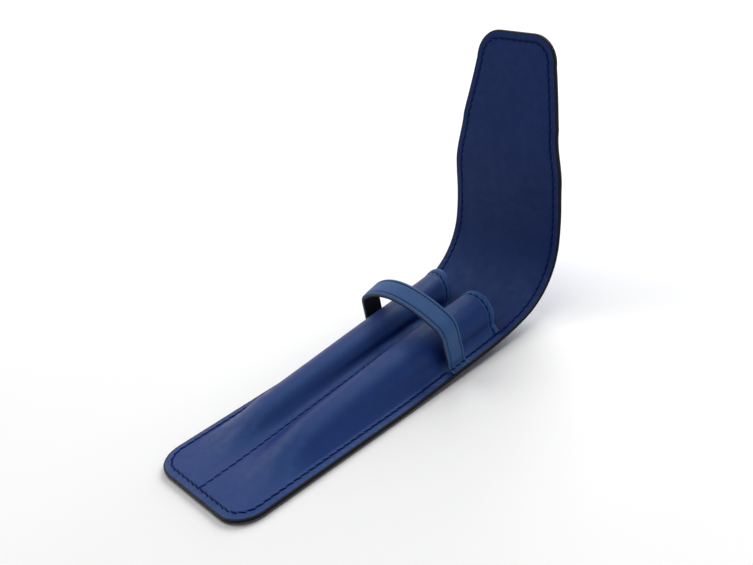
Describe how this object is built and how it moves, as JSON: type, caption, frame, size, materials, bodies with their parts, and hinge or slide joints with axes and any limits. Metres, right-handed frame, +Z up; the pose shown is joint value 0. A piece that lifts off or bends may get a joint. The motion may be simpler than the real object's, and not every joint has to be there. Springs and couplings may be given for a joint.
{
  "type": "two pen case",
  "caption": "Slim leather pen case with two moulded pen channels, an arched strap across them, and a long bending flap whose tongue tucks under the strap.",
  "frame": {"origin": "On the table under the middle of the whole case, flap included", "axes": "+Y runs from the closed bottom end towards the mouth and the flap, +X across the case, +Z up from the table through the front of the channels"},
  "size_m": [0.052, 0.1698, 0.095],
  "materials": {
    "blue_leather": "smooth, lightly waxed",
    "blue_lining_leather": "smooth",
    "blue_strap_leather": "smooth, lightly waxed",
    "black_lining_leather": "matt"
  },
  "bodies": {
    "case": {"back_cover": "blue_leather", "back_lining": "blue_lining_leather", "pocket_front": "blue_leather", "mouth_hem_left": "blue_strap_leather", "mouth_hem_right": "blue_strap_leather", "strap_band": "blue_strap_leather", "strap_lining": "black_lining_leather"},
    "bend_1": {"bend_1_cover": "blue_leather", "bend_1_lining": "blue_lining_leather"},
    "bend_2": {"bend_2_cover": "blue_leather", "bend_2_lining": "blue_lining_leather"},
    "bend_3": {"bend_3_cover": "blue_leather", "bend_3_lining": "blue_lining_leather"},
    "bend_4": {"bend_4_cover": "blue_leather", "bend_4_lining": "blue_lining_leather"},
    "bend_5": {"bend_5_cover": "blue_leather", "bend_5_lining": "blue_lining_leather"},
    "flap": {"flap_cover": "blue_leather", "flap_lining": "blue_lining_leather"}
  },
  "joints": [
    {"name": "flap_bend_1", "type": "hinge", "parent": "case", "child": "bend_1", "pos_m": [0, 0.04451, 0.00595], "axis": [1, 0, 0], "range_deg": [-14, 18]},
    {"name": "flap_bend_2", "type": "hinge", "parent": "bend_1", "child": "bend_2", "pos_m": [0, 0.05196, 0.00927], "axis": [1, 0, 0], "range_deg": [-14, 18]},
    {"name": "flap_bend_3", "type": "hinge", "parent": "bend_2", "child": "bend_3", "pos_m": [0, 0.05825, 0.01446], "axis": [1, 0, 0], "range_deg": [-14, 18]},
    {"name": "flap_bend_4", "type": "hinge", "parent": "bend_3", "child": "bend_4", "pos_m": [0, 0.06292, 0.02115], "axis": [1, 0, 0], "range_deg": [-14, 18]},
    {"name": "flap_bend_5", "type": "hinge", "parent": "bend_4", "child": "bend_5", "pos_m": [0, 0.06575, 0.02887], "axis": [1, 0, 0], "range_deg": [-14, 18]},
    {"name": "flap_bend_6", "type": "hinge", "parent": "bend_5", "child": "flap", "pos_m": [0, 0.06756, 0.03698], "axis": [1, 0, 0], "range_deg": [-14, 18]}
  ],
  "couplings": [
    {"joint": "flap_bend_2", "follows": "flap_bend_1", "ratio": 1},
    {"joint": "flap_bend_3", "follows": "flap_bend_1", "ratio": 1},
    {"joint": "flap_bend_4", "follows": "flap_bend_1", "ratio": 1},
    {"joint": "flap_bend_5", "follows": "flap_bend_1", "ratio": 1},
    {"joint": "flap_bend_6", "follows": "flap_bend_1", "ratio": 1}
  ]
}
